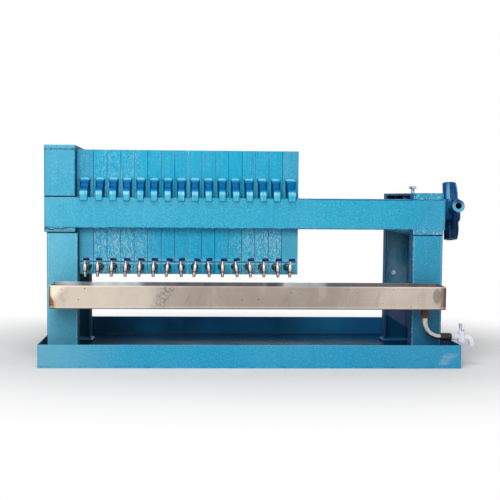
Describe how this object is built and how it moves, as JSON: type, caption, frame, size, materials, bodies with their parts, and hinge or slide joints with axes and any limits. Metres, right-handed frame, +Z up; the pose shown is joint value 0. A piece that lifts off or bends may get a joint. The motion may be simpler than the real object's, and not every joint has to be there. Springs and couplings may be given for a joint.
{
  "type": "plate filter press",
  "caption": "Screw-tightened plate filter press: cast plates on two side bars, an outlet cock on each plate, an oil trough with a drain tap, all in a drip tray.",
  "frame": {"origin": "on the floor under the middle of the drip tray's underside", "axes": "+X along the side bars towards the tightening screw, -Y the front with the outlet cocks, +Z up"},
  "size_m": [1.0635, 0.592, 0.526],
  "materials": {
    "blue_paint": "gloss hammer-effect paint",
    "blue_casting": "gloss paint over rough casting",
    "cock_metal": "plated",
    "dark_casting": "oiled",
    "zinc_steel": "zinc plated",
    "bright_steel": "turned and oiled",
    "stainless": "dull rolled sheet",
    "rusty_steel": "rusted",
    "black_rubber": "matt",
    "white_plastic": "moulded"
  },
  "bodies": {
    "frame": {"drip_tray": "blue_paint", "front_left_post": "blue_paint", "rear_left_post": "blue_paint", "front_right_post": "blue_paint", "rear_right_post": "blue_paint", "post_foot_plates": "blue_paint", "front_side_bar": "blue_paint", "rear_side_bar": "blue_paint", "front_head_post": "blue_paint", "rear_head_post": "blue_paint", "head_top_plate": "blue_paint", "head_sill_plate": "blue_paint", "head_cross_beam": "blue_paint", "screw_crosshead": "blue_paint", "screw_nut_block": "dark_casting", "lock_bolt": "zinc_steel", "head_plate": "blue_casting", "outlet_cock_01": "cock_metal", "feed_inlet_socket": "zinc_steel", "oil_trough": "stainless", "drain_socket": "rusty_steel", "drain_pipe": "zinc_steel", "tap_coupling": "black_rubber", "drain_tap_body": "white_plastic"},
    "plate_02": {"filter_plate_02": "blue_casting", "outlet_cock_02": "cock_metal"},
    "plate_03": {"filter_plate_03": "blue_casting", "outlet_cock_03": "cock_metal"},
    "plate_04": {"filter_plate_04": "blue_casting", "outlet_cock_04": "cock_metal"},
    "plate_05": {"filter_plate_05": "blue_casting", "outlet_cock_05": "cock_metal"},
    "plate_06": {"filter_plate_06": "blue_casting", "outlet_cock_06": "cock_metal"},
    "plate_07": {"filter_plate_07": "blue_casting", "outlet_cock_07": "cock_metal"},
    "plate_08": {"filter_plate_08": "blue_casting", "outlet_cock_08": "cock_metal"},
    "plate_09": {"filter_plate_09": "blue_casting", "outlet_cock_09": "cock_metal"},
    "plate_10": {"filter_plate_10": "blue_casting", "outlet_cock_10": "cock_metal"},
    "plate_11": {"filter_plate_11": "blue_casting", "outlet_cock_11": "cock_metal"},
    "plate_12": {"filter_plate_12": "blue_casting", "outlet_cock_12": "cock_metal"},
    "plate_13": {"filter_plate_13": "blue_casting", "outlet_cock_13": "cock_metal"},
    "plate_14": {"filter_plate_14": "blue_casting", "outlet_cock_14": "cock_metal"},
    "plate_15": {"filter_plate_15": "blue_casting", "outlet_cock_15": "cock_metal"},
    "follower": {"follower_plate": "blue_casting", "outlet_cock_16": "cock_metal"},
    "screw": {"tightening_screw": "bright_steel", "capstan_hub": "blue_casting", "capstan_sockets": "blue_casting"},
    "tap_handle": {"drain_tap_handle": "white_plastic"}
  },
  "joints": [
    {"name": "screw_turn", "type": "hinge", "parent": "follower", "child": "screw", "pos_m": [0.5395, 0, 0.3705], "axis": [1, 0, 0], "range_deg": [0, 6480]},
    {"name": "follower_slide", "type": "slide", "parent": "frame", "child": "follower", "axis": [1, 0, 0], "range_m": [0, 0.1802]},
    {"name": "plate_02_slide", "type": "slide", "parent": "frame", "child": "plate_02", "axis": [1, 0, 0], "range_m": [0, 0.0122]},
    {"name": "plate_03_slide", "type": "slide", "parent": "frame", "child": "plate_03", "axis": [1, 0, 0], "range_m": [0, 0.0242]},
    {"name": "plate_04_slide", "type": "slide", "parent": "frame", "child": "plate_04", "axis": [1, 0, 0], "range_m": [0, 0.0362]},
    {"name": "plate_05_slide", "type": "slide", "parent": "frame", "child": "plate_05", "axis": [1, 0, 0], "range_m": [0, 0.0482]},
    {"name": "plate_06_slide", "type": "slide", "parent": "frame", "child": "plate_06", "axis": [1, 0, 0], "range_m": [0, 0.0602]},
    {"name": "plate_07_slide", "type": "slide", "parent": "frame", "child": "plate_07", "axis": [1, 0, 0], "range_m": [0, 0.0722]},
    {"name": "plate_08_slide", "type": "slide", "parent": "frame", "child": "plate_08", "axis": [1, 0, 0], "range_m": [0, 0.0842]},
    {"name": "plate_09_slide", "type": "slide", "parent": "frame", "child": "plate_09", "axis": [1, 0, 0], "range_m": [0, 0.0962]},
    {"name": "plate_10_slide", "type": "slide", "parent": "frame", "child": "plate_10", "axis": [1, 0, 0], "range_m": [0, 0.1082]},
    {"name": "plate_11_slide", "type": "slide", "parent": "frame", "child": "plate_11", "axis": [1, 0, 0], "range_m": [0, 0.1202]},
    {"name": "plate_12_slide", "type": "slide", "parent": "frame", "child": "plate_12", "axis": [1, 0, 0], "range_m": [0, 0.1322]},
    {"name": "plate_13_slide", "type": "slide", "parent": "frame", "child": "plate_13", "axis": [1, 0, 0], "range_m": [0, 0.1442]},
    {"name": "plate_14_slide", "type": "slide", "parent": "frame", "child": "plate_14", "axis": [1, 0, 0], "range_m": [0, 0.1562]},
    {"name": "plate_15_slide", "type": "slide", "parent": "frame", "child": "plate_15", "axis": [1, 0, 0], "range_m": [0, 0.1682]},
    {"name": "tap_turn", "type": "hinge", "parent": "frame", "child": "tap_handle", "pos_m": [0.515, -0.244, 0.09], "axis": [0, 0, 1], "range_deg": [0, 90]}
  ],
  "couplings": [
    {"joint": "follower_slide", "follows": "screw_turn", "m_per_rad": 0.0015915},
    {"joint": "plate_02_slide", "follows": "screw_turn", "m_per_rad": 0.0001061},
    {"joint": "plate_03_slide", "follows": "screw_turn", "m_per_rad": 0.00021221},
    {"joint": "plate_04_slide", "follows": "screw_turn", "m_per_rad": 0.00031831},
    {"joint": "plate_05_slide", "follows": "screw_turn", "m_per_rad": 0.00042441},
    {"joint": "plate_06_slide", "follows": "screw_turn", "m_per_rad": 0.00053052},
    {"joint": "plate_07_slide", "follows": "screw_turn", "m_per_rad": 0.00063662},
    {"joint": "plate_08_slide", "follows": "screw_turn", "m_per_rad": 0.00074272},
    {"joint": "plate_09_slide", "follows": "screw_turn", "m_per_rad": 0.00084883},
    {"joint": "plate_10_slide", "follows": "screw_turn", "m_per_rad": 0.00095493},
    {"joint": "plate_11_slide", "follows": "screw_turn", "m_per_rad": 0.001061},
    {"joint": "plate_12_slide", "follows": "screw_turn", "m_per_rad": 0.0011671},
    {"joint": "plate_13_slide", "follows": "screw_turn", "m_per_rad": 0.0012732},
    {"joint": "plate_14_slide", "follows": "screw_turn", "m_per_rad": 0.0013793},
    {"joint": "plate_15_slide", "follows": "screw_turn", "m_per_rad": 0.0014854}
  ]
}
